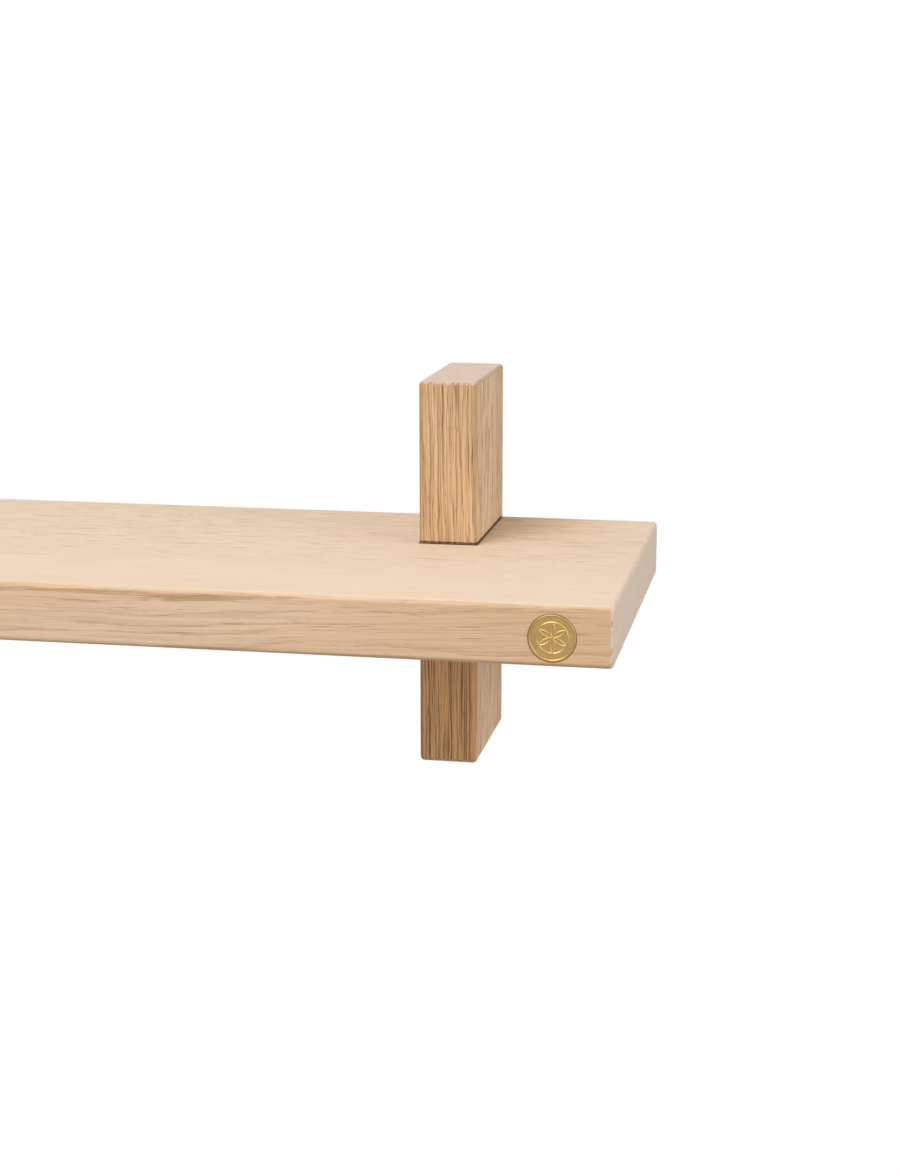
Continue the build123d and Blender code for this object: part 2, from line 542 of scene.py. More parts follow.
@dataclass(frozen=True)
class OakFinish(Finish):
    """Oiled oak: one board, cut from its own place in the tree.

    A tint is what a colour is multiplied by, and a strength is how much of a layer shows on the narrow faces.

    Attributes:
        grain: the way that the fibres run.
        heart: the tree's heart in the turned frame, in millimetres from the board's own origin.
        slope: how far the fibres stray from the board's length, in radians.
        ring_width, drift, waver: a ring's width and how far slow and short waves move it, in millimetres.
        broken: how much of the early wood fades where it comes and goes.
        pale, warm: the two tones of the wood.
        early, pore: the colours of early wood and dark fibres, and of pores, streaks and lines.
        side_grain_and_shade_tint, far_tint: the narrow faces' tint, partly their own colour and partly painted
            shading, and what it turns to towards the rack's right end.
        end, end_dark: the colours of end grain and of its rings and pores.
        golden, joint_shade: the colours of the stain along the upper front arris and of the painted shade in a
            joint and round a post's foot.
        arris_shade_tint, under_shelf_shade_tint, post_shadow_tint: the tints of painted shade on arrises, of
        painted warm shade below the shelf, and of the painted shadow beside a post.
        broad_share, broad_rings: the share of the strengths, and of early wood's, on the broad faces.
        calm: the y, in metres, from which the broad faces turn plain towards the front.
        flush: how strongly the golden stain shows.
        seam: the height, in metres, of the joint that painted shade darkens, above and below the shelf.
        line_strength: how strongly long dark lines show above the shelf.
        brink_strength: how dark the border of the end grain is.
        feet: the posts' outlines, as left x, front y and right x, round which painted shadow and shade are
            laid.
        inlay: x, z and radius of a disc let into the front edge, with painted shade round it.
    """

    grain: Grain
    heart: Triple
    slope: float = 0.03
    ring_width: float = 2.2
    drift: float = 7.0
    waver: float = 2.0
    broken: float = 0.8
    pale: Colour = (0.705, 0.568, 0.438)
    warm: Colour = (0.69, 0.55, 0.41)
    early: Colour = (0.45, 0.29, 0.17)
    pore: Colour = (0.33, 0.19, 0.10)
    side_grain_and_shade_tint: Colour = (1.06, 0.955, 0.885)
    far_tint: Colour | None = None
    end: Colour = (0.735, 0.61, 0.515)
    end_dark: Colour = (0.42, 0.29, 0.20)
    golden: Colour = (0.47, 0.28, 0.115)
    joint_shade: Colour = (0.06, 0.03, 0.015)
    arris_shade_tint: Colour = (0.88, 0.83, 0.77)
    under_shelf_shade_tint: Colour = (1.10, 0.97, 0.835)
    post_shadow_tint: Colour = (0.92, 0.80, 0.62)
    early_strength: float = 0.6
    streak_strength: float = 0.5
    pore_strength: float = 0.35
    fibre_strength: float = 0.3
    broad_share: float = 0.85
    broad_rings: float = 0.4
    calm: float = -1.0
    flush: float = 0.0
    seam: float = 0.0
    line_strength: float = 0.06
    brink_strength: float = 0.4
    feet: tuple[Triple, ...] = ()
    inlay: Triple | None = None

    def shade(self, graph: Graph, place: Any) -> dict[str, Any]:
        """Long grain, narrow faces and end grain of one board, rougher in the streaks, with sunk pores.

        Args:
            graph: the material's tree.
            place: the outputs of its Texture Coordinate node.

        Returns:
            What the shader's inputs are fed with, by name.
        """
        board = OakBoard(self, graph, place)
        board.paint()
        return {
            "Base Color": board.colour,
            "Roughness": graph.plus(graph.times(board.grain["Streaks"], 0.15), 0.56),
            "Specular IOR Level": 0.32,
            "Normal": board.bump(board.height(), 0.15 * MM, 0.6),
        }


class OakBoard(Graph):
    """Writes one board's finish into its material's tree, layer by layer.  Its distances are in metres."""

    calming = (-0.04, 0.05)  # where the broad faces turn plain, from the calm line
    calmed = 0.25  # how much of their figure is left there
    far = (0.2, 0.43)  # x where side_grain_and_shade_tint turns to far_tint
    band = (0.0085, 0.0112)  # z where the golden stain comes in
    band_swing = 0.018  # how far that edge wanders
    line_fade = (-0.02, 0.02)  # z where lines fade to their strength above the shelf
    line_growth = 3.4  # how much stronger they are below it
    # painted shade: where the warm shade below the shelf comes in
    under_shelf_shade_fade = (-0.01, -0.03)  # z where under_shelf_shade_tint comes in
    joint_shade_begins = (-0.0012, -0.0006)  # where the painted joint shade comes in, from the seam
    joint_shade_ends = (0.0007, 0.0014)  # where it ends
    joint_shade_fray = 0.0008  # how far fibres fray its edges
    # the painted shadow of a post on the shelf's top: its reach, depth and inset
    post_shadow_reach = 0.08  # from a post's right side
    post_shadow_depth = 0.06  # from its front
    post_shadow_inset = 0.01  # inside the post's sides, where it comes in
    # painted shade: the dark line round a post
    outline = (0.0001, 0.0008)  # the dark line round a post, from its outline
    # painted shade in the gap round the inlay
    ring = (0.0002, 0.0009)  # the dark line round the inlay, from its edge
    ring_front = (-0.19, -0.18)  # y where that ends

    def __init__(self, finish: OakFinish, graph: Graph, place: Any) -> None:
        """Places the groups that the layers read.

        Args:
            finish: the board's settings.
            graph: the material's tree.
            place: the outputs of its Texture Coordinate node.
        """
        super().__init__(graph.tree)
        self.finish, self.point = finish, place["Object"]
        self.x, self.y, self.z = self.parts(self.point)
        turn = Vector(finish.grain.value) + Vector((0.0, finish.slope, 0.0))
        move = {"Location": -Vector(finish.heart), "Rotation": turn, "Scale": (1 / MM,) * 3}
        settings = {
            "Vector": self.step("ShaderNodeMapping", {"Vector": self.point, **move}),
            "Ring Width": finish.ring_width,
            "Drift": finish.drift,
            "Waver": finish.waver,
            "Broken": finish.broken,
        }
        self.grain = OakGrain().use(self, settings)
        ragged = self.times(self.minus(0.25, self.grain["Early"]), 0.75)
        wavy = self.minus(self.grain["Patch"], 0.7)
        length_axis = X_AXIS if finish.grain is Grain.ALONG_SHELF else Z_AXIS
        self.ends, self.narrow, self.flat = (
            Facing().use(self, {"Normal": place["Normal"], "Axis": axis, "Ragged": border})
            for axis, border in ((length_axis, ragged), (Y_AXIS, wavy), (Z_AXIS, 0.0))
        )
        self.colour = self.mix(self.between(self.grain["Tone"], (0.35, 0.65)), finish.pale, finish.warm)

    def lay(self, amount: Any, colour: Any) -> None:
        """Mixes a colour over what is there."""
        self.colour = self.mix(amount, self.colour, colour)

    def tint(self, amount: Any, tint: Any) -> None:
        """Multiplies what is there by a tint."""
        self.colour = self.tinted(amount, self.colour, tint)

    def amount(self, mask: Any, strength: float, broad: float | None = None) -> Socket:
        """How much of a layer shows, with less of it on the broad faces.

        Args:
            mask: where the layer is.
            strength: how much of it shows on the narrow faces.
            broad: the share of that on the broad faces; the finish's own share if None.

        Returns:
            The amount, from 0 to 1.
        """
        share = self.finish.broad_share if broad is None else broad
        figured = self.between(self.y, beyond(self.finish.calm, self.calming), self.calmed, 1.0)
        return self.times(mask, self.most(self.narrow["Along"], self.times(figured, share)), strength)

    def paint(self) -> None:
        """Lays every layer in its order."""
        finish = self.finish
        self.wood()
        if finish.flush:
            self.stain()
        self.lines()
        if finish.seam:
            self.joint()
        self.lay(self.amount(self.grain["Streaks"], finish.streak_strength), finish.pore)
        self.lay(self.amount(self.grain["Pores"], finish.pore_strength), finish.pore)
        for foot in finish.feet:
            self.foot(*foot)
        if finish.inlay:
            self.inlay(*finish.inlay)
        self.end()

    def wood(self) -> None:
        """Tints the narrow faces, partly as painted shading, paints shade on the arrises, and lays dark fibres
        and early wood.
        """
        finish = self.finish
        tint = finish.side_grain_and_shade_tint
        if finish.far_tint:
            tint = self.mix(self.between(self.x, self.far), tint, finish.far_tint)
        # partly the narrow faces' own colour and partly painted shading
        self.tint(self.narrow["Along"], tint)
        # painted shade: darkens the round-overs where the lamps give them a highlight
        self.tint(self.narrow["Arris"], finish.arris_shade_tint)
        strands = self.between(self.grain["Fibre"], (0.48, 0.62))
        self.lay(self.amount(strands, finish.fibre_strength), finish.early)
        self.lay(self.amount(self.grain["Early"], finish.early_strength, finish.broad_rings), finish.early)

    def stain(self) -> None:
        """Lays the golden stain along the upper front arris."""
        grain = self.grain
        shift = self.times(self.minus(grain["Patch"], 0.5), self.band_swing)
        band = self.between(self.plus(self.z, shift), self.band)
        clear = self.minus(1.0, self.times(self.narrow["Arris"], 0.85))
        fibres = self.between(grain["Fibre"], (0.47, 0.54), 0.1, 1.0)
        flecks = self.most(grain["Early"], fibres, grain["Lines"])
        patchy = self.between(grain["Tone"], (0.42, 0.56), 0.3, 1.0)
        masks = (band, self.narrow["Along"], clear, flecks, patchy)
        self.lay(self.times(*masks, self.finish.flush), self.finish.golden)

    def lines(self) -> None:
        """Lays long dark lines on the narrow faces."""
        strength = self.finish.line_strength
        shown = self.between(self.z, self.line_fade, self.line_growth * strength, strength)
        self.lay(self.times(shown, self.grain["Lines"], self.narrow["Along"]), self.finish.pore)

    def joint(self) -> None:
        """Paints shade below the shelf as a warm tint on the narrow faces, and paints shade along the joint
        above and below it.
        """
        seam = self.finish.seam
        # painted shade: the narrow faces below the shelf are warmed and darkened as if shaded by it
        below = self.times(self.between(self.z, self.under_shelf_shade_fade), self.narrow["Along"])
        self.tint(below, self.finish.under_shelf_shade_tint)
        # painted shade: a dark line along the joint, where shade falls in the gap
        level = self.minus(self.math("ABSOLUTE", self.z), self.times(self.grain["Fibre"], self.joint_shade_fray))
        outer = self.between(level, beyond(seam, self.joint_shade_ends), 0.97, 0.0)
        self.lay(self.times(outer, self.between(level, beyond(seam, self.joint_shade_begins))), self.finish.joint_shade)

    def foot(self, left: float, front: float, right: float) -> None:
        """Paints a post's shadow beside it on the shelf's top as a warm tint, and a line of painted shade round
        it.

        Args:
            left: x of the post's left side.
            front: y of its front.
            right: x of its right side.
        """
        flat = self.flat["Along"]
        gaps = (self.minus(left, self.x), self.minus(self.x, right), self.minus(front, self.y))
        beside = self.between(self.x, (right, right + self.post_shadow_reach), 1.0, 0.0)
        past = self.between(self.x, (left + self.post_shadow_inset, right - self.post_shadow_inset))
        behind = self.between(self.y, (front, front + self.post_shadow_depth))
        fibres = self.between(self.grain["Fibre"], (0.42, 0.55), 0.45, 1.0)
        # painted shadow: cast by the post to its right and behind it
        self.tint(self.times(beside, past, flat, behind, fibres), self.finish.post_shadow_tint)
        # painted shade: a dark line where the post meets the shelf
        line = self.between(self.most(*gaps), self.outline, 0.75, 0.0)
        self.lay(self.times(line, flat), self.finish.joint_shade)

    def inlay(self, x: float, z: float, radius: float) -> None:
        """Paints shade in the gap round the inlay as a dark line.

        Args:
            x: its middle's x.
            z: its middle's z.
            radius: its radius.
        """
        away = self.vector("SUBTRACT", self.scaled(self.point, (1.0, 0.0, 1.0)), (x, 0.0, z))
        line = self.between(self.measure("LENGTH", away), beyond(radius, self.ring), 0.85, 0.0)
        self.lay(self.times(line, self.between(self.y, self.ring_front, 1.0, 0.0)), self.finish.pore)

    def end(self) -> None:
        """Lays the end grain where the surface cuts the fibres, with painted shade on its arrises and a darker
        brink round it.
        """
        grain, finish, along = self.grain, self.finish, self.ends["Along"]
        end = self.mix(self.times(grain["Early"], 0.3), finish.end, finish.end_dark)
        end = self.mix(self.times(grain["Pores"], 0.5), end, finish.end_dark)
        end = self.mix(self.times(grain["Rays"], 0.25), end, finish.pale)
        # painted shade on the end grain's arrises
        end = self.tinted(self.times(self.ends["Arris"], 0.7), end, finish.arris_shade_tint)
        brink = self.times(along, self.minus(1.0, along), 4.0)
        self.lay(along, end)
        self.lay(self.times(brink, finish.brink_strength), finish.early)

    def height(self) -> Socket:
        """Sunk pores, streaks and early wood, and raised fibres.

        Returns:
            The height, as a share of the relief.
        """
        grain = self.grain
        sunk = self.times(self.amount(self.most(grain["Pores"], grain["Streaks"]), 1.0), -0.9)
        sunk = self.plus(sunk, self.times(grain["Early"], -0.25))
        return self.plus(sunk, self.times(grain["Fibre"], 0.3))


@dataclass(frozen=True)
class WornFinish(Finish):
    """Metal, nylon or rubber with blotches of a second tone, and brush lines, rub marks or a speckle.

    Attributes:
        colour, worn: the fresh surface and the blotches.
        size: the distance, in metres, that its marks are sized by.
        edge: where in slow noise a blotch begins and is full.
        share: how much of the second tone the blotches take.
        metallic: 1 for metal.
        roughness: the fresh surface's.
        rougher: what each kind of mark adds to it.
        heights: how far each kind of mark stands out, as a share of the relief.
        relief: in metres.
        brush: how often brush lines repeat in a metre along each axis.
    """

    colour: Colour
    worn: Colour
    size: float
    edge: Span
    roughness: float
    rougher: dict[str, float]
    heights: dict[str, float]
    relief: float
    share: float = 1.0
    metallic: float = 1.0
    brush: Triple | None = None

    def shade(self, graph: Graph, place: Any) -> dict[str, Any]:
        """Sums the marks up into colour, roughness and height.

        Args:
            graph: the material's tree.
            place: the outputs of its Texture Coordinate node.

        Returns:
            What the shader's inputs are fed with, by name.
        """
        scuffs = Scuffs().use(graph, {"Vector": place["Object"], "Size": self.size})
        marks = {name: scuffs[name] for name in Scuffs.outputs}
        marks["Blotch"] = graph.between(marks["Blotch"], self.edge)
        if self.brush:
            marks["Brush"] = graph.noise(graph.scaled(place["Object"], self.brush))
        rough, high = (
            [graph.times(marks[name], factor) for name, factor in factors.items()]
            for factors in (self.rougher, self.heights)
        )
        return {
            "Base Color": graph.mix(graph.times(marks["Blotch"], self.share), self.colour, self.worn),
            "Metallic": self.metallic,
            "Roughness": reduce(graph.plus, rough, self.roughness),
            "Normal": graph.bump(reduce(graph.plus, high), self.relief, 0.5),
        }


@dataclass(frozen=True)
class LeatherFinish(Finish):
    """Vegetable-tanned strap leather: fine pebbled grain and darker, burnished edges.

    Attributes:
        half_height: the strip's half height, in metres, to find its edges by.
        colour, light: the two tans.
        edge: the burnished edges and the creases between pebbles.
        pebbles: how many pebbles there are to a metre.
        burnish: where the burnishing begins and is full, from the strip's edge.
    """

    half_height: float
    colour: Colour = (0.42, 0.22, 0.10)
    light: Colour = (0.52, 0.30, 0.15)
    edge: Colour = (0.13, 0.055, 0.02)
    pebbles: float = 1500.0
    burnish: Span = (-1.6 * MM, -0.3 * MM)

    def shade(self, graph: Graph, place: Any) -> dict[str, Any]:
        """Tan with slow tone changes, pebbles in its height and dark edges at the top and bottom.

        Args:
            graph: the material's tree.
            place: the outputs of its Texture Coordinate node.

        Returns:
            What the shader's inputs are fed with, by name.
        """
        coordinates = place["Object"]
        scuffs = Scuffs().use(graph, {"Vector": coordinates, "Size": 3.0 * MM})
        pebbles = graph.cells(graph.scaled(coordinates, (self.pebbles,) * 3))
        crease = graph.between(pebbles.outputs["Distance"], (0.15, 0.75))
        height = graph.math("ABSOLUTE", graph.parts(coordinates)[2])
        edge = graph.between(height, beyond(self.half_height, self.burnish))
        colour = graph.mix(graph.between(scuffs["Blotch"], (0.3, 0.7)), self.colour, self.light)
        colour = graph.mix(graph.times(crease, 0.3), colour, self.edge)
        colour = graph.mix(graph.times(scuffs["Lines"], 0.25), colour, self.light)
        return {
            "Base Color": graph.mix(edge, colour, self.edge),
            "Roughness": graph.plus(graph.times(edge, -0.18), 0.55),
            "Normal": graph.bump(graph.minus(scuffs["Speckle"], crease), 0.12 * MM, 0.7),
        }


# ---- Surfaces


def surface(name: str, points: np.ndarray, sharp: float = 40.0) -> bpy.types.Object:
    """Makes a closed mesh from a grid of points, one quad between each four neighbours.

    Args:
        name: the piece's name.
        points: an array of rows by columns by three, in metres, whose last column joins the first.
        sharp: edges that turn more than this many degrees are shaded sharp.

    Returns:
        The object, at the origin, with its faces pointing out and its poles merged.
    """
    rows, columns = points.shape[:2]
    index = np.arange(rows * columns).reshape(rows, columns)
    index = np.hstack([index, index[:, :1]])
    corners = (index[:-1, :-1], index[1:, :-1], index[1:, 1:], index[:-1, 1:])
    quads = np.stack(corners, axis=-1).reshape(-1, 4)
    mesh = bpy.data.meshes.new(name)
    mesh.from_pydata(points.reshape(-1, 3).tolist(), [], quads.tolist())
    work = bmesh.new()
    work.from_mesh(mesh)
    bmesh.ops.remove_doubles(work, verts=work.verts, dist=POLE_GAP)
    bmesh.ops.recalc_face_normals(work, faces=work.faces)
    work.to_mesh(mesh)
    work.free()
    mesh.shade_smooth()
    mesh.set_sharp_from_angle(angle=math.radians(sharp))
    return placed(name, mesh)


def arc(centre: Span, radius: float, start: float, stop: float, count: int) -> np.ndarray:
    """Points on a circle's arc, from one angle to another, in degrees.

    Args:
        centre: the circle's centre.
        radius: its radius.
        start: the first point's angle.
        stop: the last point's angle.
        count: how many points.

    Returns:
        An array of count by two.
    """
    angle = np.radians(np.linspace(start, stop, count))
    return np.stack([centre[0] + radius * np.cos(angle), centre[1] + radius * np.sin(angle)], axis=-1)


def smooth_step(value: np.ndarray, low: float, high: float) -> np.ndarray:
    """Eases from 0 at low to 1 at high: 3 t squared less 2 t cubed, with t clipped between 0 and 1."""
    t = np.clip((value - low) / (high - low), 0.0, 1.0)
    return t * t * (3.0 - 2.0 * t)


# ---- Sub-assemblies


def coat(piece: bpy.types.Object, material: bpy.types.Material) -> bpy.types.Object:
    """Gives a piece one finish all over, and gives the piece back."""
    piece.data.materials.clear()
    piece.data.materials.append(material)
    return piece


def settle(piece: bpy.types.Object, material: bpy.types.Material, body: str, slot: str, *nodes: str) -> None:
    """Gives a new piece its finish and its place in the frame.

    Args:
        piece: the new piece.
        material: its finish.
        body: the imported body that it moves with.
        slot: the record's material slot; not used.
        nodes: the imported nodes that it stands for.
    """
    coat(piece, material)
    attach(piece, body)
    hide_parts(*nodes)


def moulded(name: str, colour: Colour, rubbed: Colour, roughness: float) -> bpy.types.Material:
    """Moulded nylon or rubber with a fine speckle.

    Args:
        name: the material's name.
        colour: the fresh surface.
        rubbed: its rubbed patches.
        roughness: the fresh surface's roughness.

    Returns:
        The material.
    """
    marks = {"rougher": {"Speckle": 0.15}, "heights": {"Speckle": 1.0}, "relief": 0.05 * MM}
    finish = WornFinish(name, colour, rubbed, 1.5 * MM, (0.4, 0.75), roughness, metallic=0.0, **marks)
    return finish.material()


@dataclass
class OakFrame:
    """The shelf and its two posts, each a board of its own."""

    def build(self) -> Iterable[bpy.types.Object]:
        """Dresses the three boards.

        Yields:
            The boards.
        """
        posts = [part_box(f"post_{side.value}") for side in Side]
        disc_low, disc_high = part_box("medallion")
        disc = (disc_low + disc_high) / 2
        shelf = OakFinish(
            "oak_shelf",
            Grain.ALONG_SHELF,
            (0.0, 60.0, -125.0),
            calm=-0.135,
            flush=0.75,
            drift=12.0,
            far_tint=(0.95, 0.80, 0.62),
            feet=tuple((low.x, low.y, high.x) for low, high in posts),
            inlay=(disc.x, disc.z, (disc_high.x - disc_low.x) / 2),
        )
        yield coat(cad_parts["shelf"], shelf.material())
        for side in Side:
            low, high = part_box(f"post_{side.value}")
            middle = (low + high) / 2 / MM
            finish = OakFinish(
                f"oak_post_{side.value}",
                Grain.UPRIGHT,
                (300.0, 60.0, -middle.x + 90.0),
                slope=0.01,
                ring_width=1.6,
                waver=2.4,
                broken=0.45,
                seam=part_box("shelf")[1].z,
                line_strength=0.25,
                brink_strength=0.8,
                pale=(0.76, 0.56, 0.365),
                warm=(0.65, 0.455, 0.275),
                early=(0.34, 0.19, 0.085),
                end=(0.61, 0.49, 0.41),
                arris_shade_tint=(0.78, 0.70, 0.62),
                pore=(0.13, 0.06, 0.02),
                side_grain_and_shade_tint=(0.95, 0.88, 0.80),
                early_strength=0.85,
                streak_strength=0.7,
                pore_strength=0.5,
                fibre_strength=0.75,
            )
            yield coat(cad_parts[f"post_{side.value}"], finish.material())


@dataclass
class Fixings:
    """Screws, washers, hanger plates and wall plugs."""

    def build(self) -> Iterable[bpy.types.Object]:
        """Dresses every steel and nylon node.

        Yields:
            The nodes.
        """
        steel = WornFinish(
            "zinc_steel",
            colour=(0.62, 0.63, 0.64),
            worn=(0.46, 0.47, 0.49),
            size=2.0 * MM,
            edge=(0.35, 0.7),
            roughness=0.24,
            rougher={"Blotch": 0.12, "Lines": 0.2},
            heights={"Speckle": 0.4, "Lines": -1.0},
            relief=0.02 * MM,
        ).material()
        nylon = moulded("grey_nylon", (0.30, 0.31, 0.31), (0.38, 0.39, 0.39), 0.5)
        for node, piece in sorted(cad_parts.items()):
            if any(word in node for word in ("screw", "washer", "plate")):
                yield coat(piece, steel)
            elif "plug" in node:
                yield coat(piece, nylon)


@dataclass
class Medallion:
    """The brass disc let into the front edge: a raised rim round a dished field with a six-petal rosette.

    Attributes:
        rim: the rim's width.
        dish: how far the field lies below the rim.
        ridge: the height of the rosette's lines above the field.
        line: the half width of a line.
        thickness: the disc's thickness, without its pin.
        pin: the pin's radius.
        flank: how far the rim's inner side leans out.
        bevel: the bevel at the pin's end.
        share: the radius of the rosette's circles as a share of the disc's.
        margin: the flat strip between the rosette and the rim.
        inward, around: how many points there are from the middle to the rim, and round the disc.
    """

    rim: float = 0.95 * MM
    dish: float = 0.5 * MM
    ridge: float = 0.26 * MM
    line: float = 0.42 * MM
    thickness: float = 2.2 * MM
    pin: float = 1.5 * MM
    flank: float = 0.12 * MM
    bevel: float = 0.3 * MM
    share: float = 0.66
    margin: float = 0.5 * MM
    inward: int = 90
    around: int = 288

    def profile(self, radius: float, depth: float) -> np.ndarray:
        """The turned outline, from the field's centre over the rim and round the back to the pin's end.

        Args:
            radius: the disc's radius.
            depth: from the rim's top to the pin's end.

        Returns:
            Radius and depth below the rim's top, as an array of points by two.
        """
        field_edge = radius - self.rim
        crown = self.rim / 3
        flat = [np.linspace(0.0, field_edge, self.inward), np.full(self.inward, self.dish)]
        field = np.stack(flat, axis=-1)
        rise = np.array([[field_edge + self.flank, crown]])
        inner = arc((field_edge + self.flank + crown, crown), crown, 180, 270, 7)
        outer = arc((radius - crown, crown), crown, 270, 360, 7)
        back = arc((radius - crown, self.thickness - crown), crown, 0, 90, 5)
        pin = np.array([[self.pin, self.thickness], [self.pin, depth - self.bevel]])
        tip = np.array([[self.pin - self.bevel, depth], [0.0, depth]])
        return np.vstack([field, rise, inner, outer, back, pin, tip])

    def rosette(self, x: np.ndarray, z: np.ndarray, radius: float) -> np.ndarray:
        """Height of a compass-drawn rosette.

        Six circles of one radius stand round the middle at that same distance from it.  A line is raised
        where a point is as far from a circle's centre as the circle's radius, inside the circle through
        those centres, which is a line too.

        Args:
            x: places across the disc from its centre.
            z: places up the disc from its centre.
            radius: the circles' radius.

        Returns:
            The height, from 0 to 1.
        """
        angle = np.radians(np.arange(30.0, 390.0, 60.0))
        gap_x = x[..., None] - radius * np.cos(angle)
        gap_z = z[..., None] - radius * np.sin(angle)
        away = np.abs(np.hypot(gap_x, gap_z) - radius).min(axis=-1)
        reach = np.hypot(x, z)
        inside = 1.0 - smooth_step(reach, radius - 0.1 * MM, radius + 0.25 * MM)
        petals = inside * (1.0 - smooth_step(away, 0.25 * self.line, self.line))
        circle = 1.0 - smooth_step(np.abs(reach - radius), 0.25 * self.line, self.line)
        return np.maximum(petals, circle)

    def build(self) -> Iterable[bpy.types.Object]:
        """Turns the profile about the disc's axis and raises the rosette on its field.

        Yields:
            The disc.
        """
        low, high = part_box("medallion")
        centre = (low + high) / 2
        radius = (high.x - low.x) / 2
        outline = self.profile(radius, high.y - low.y)
        angle = np.linspace(0.0, 2 * np.pi, self.around, endpoint=False)
        reach, depth = outline[:, :1], outline[:, 1:]
        x, z = reach * np.cos(angle), reach * np.sin(angle)
        field = (reach < radius - self.rim - self.margin) & (depth <= self.dish + POLE_GAP)
        raised = self.rosette(x, z, self.share * radius) * field
        y = low.y + depth - self.ridge * raised
        points = np.stack([centre.x + x, y, centre.z + z], axis=-1)
        piece = surface("brass_medallion", points)
        brass = WornFinish(
            "satin_brass",
            colour=(0.80, 0.555, 0.235),
            worn=(0.55, 0.35, 0.135),
            size=1.0 * MM,
            edge=(0.35, 0.75),
            share=0.5,
            roughness=0.36,
            rougher={"Brush": 0.2, "Blotch": 0.08},
            heights={"Brush": 1.0},
            relief=0.02 * MM,
            brush=(5200.0, 300.0, 170.0),
        )
        settle(piece, brass.material(), "rack", "brass", "medallion")
        yield piece


@dataclass
class SaddleLiner:
    """The leather strip that lines the saddle slot, with a pressed crease along each edge.

    Attributes:
        thickness: the strip's thickness.
        corner: the radius of its rubbed corners.
        crease: how deep the creases are pressed.
        crease_inset: from the strip's edge to a crease.
        crease_width: from a crease's middle to where it has mostly faded.
        bulge: how far the strip's middle stands out from its edges.
        rises: how many points there are up the strip's face.
        stations, rounding: how many sections there are along it, and round each of its ends.
    """

    thickness: float = 2.85 * MM
    corner: float = 1.0 * MM
    crease: float = 0.3 * MM
    crease_inset: float = 2.2 * MM
    crease_width: float = 0.35 * MM
    bulge: float = 0.12 * MM
    rises: int = 61
    stations: int = 260
    rounding: int = 7

    def section(self, half_height: float) -> np.ndarray:
        """The strip's section as a closed loop of distance from the slot's wall and height.

        Args:
            half_height: half the strip's height.

        Returns:
            An array of points by two.
        """
        turn = half_height - self.corner
        far = self.thickness - self.bulge - self.corner
        rise = np.linspace(-turn, turn, self.rises)
        from_crease = (np.abs(rise) - half_height + self.crease_inset) / self.crease_width
        crown = self.bulge * (1.0 - (rise / half_height) ** 2)
        out = self.thickness - self.bulge + crown - self.crease * np.exp(-(from_crease**2))
        face = np.stack([out, rise], axis=-1)
        return np.vstack(
            [
                arc((self.corner, -turn), self.corner, 180, 270, 6),
                arc((far, -turn), self.corner, 270, 350, 6),
                face,
                arc((far, turn), self.corner, 10, 90, 6),
                arc((self.corner, turn), self.corner, 90, 180, 6),
            ]
        )

    def path(self, half_width: float, front: float, back: float) -> tuple[np.ndarray, np.ndarray]:
        """Even steps along the slot's wall: in on the left, round the end and out on the right.

        Args:
            half_width: from the slot's middle to its wall.
            front: y of the strip's ends.
            back: y of the slot's inner end.

        Returns:
            The places on the wall and the directions from it into the slot, each stations by two.
        """
        straight = back - half_width - front
        total = 2 * straight + math.pi * half_width
        run = np.linspace(0.0, total, self.stations)
        angle = np.clip((run - straight) / half_width, 0.0, math.pi)
        inward = np.stack([np.cos(angle), -np.sin(angle)], axis=-1)
        along = np.minimum(run, straight) - np.clip(run - total + straight, 0.0, straight)
        centre = np.stack([np.zeros_like(run), front + along], axis=-1)
        return centre - half_width * inward, inward

    def build(self) -> Iterable[bpy.types.Object]:
        """Carries the section along the slot's wall and rounds both ends off.

        Yields:
            The strip.
        """
        low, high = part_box("saddle_liner")
        section = self.section((high.z - low.z) / 2)
        bull = self.thickness / 2
        wall, inward = self.path((high.x - low.x) / 2, low.y + bull, high.y)
        angle = np.radians(np.linspace(90.0, 0.0, self.rounding, endpoint=False))
        angle = np.concatenate([angle, np.zeros(self.stations), angle[::-1]])
        out, thin = bull * np.sin(angle), np.cos(angle)
        wall, inward = (np.pad(a, ((self.rounding,) * 2, (0, 0)), mode="edge") for a in (wall, inward))
        away = bull + (section[None, :, 0] - bull) * thin[:, None]
        x = wall[:, :1] + inward[:, :1] * away
        y = wall[:, 1:] + inward[:, 1:] * away - out[:, None]
        z = np.broadcast_to(section[None, :, 1], x.shape)
        piece = surface("leather_liner", np.stack([x, y, z], axis=-1), sharp=60.0)
        finish = LeatherFinish("strap_leather", (high.z - low.z) / 2)
        settle(piece, finish.material(), "rack", "leather", "saddle_liner")
        yield piece


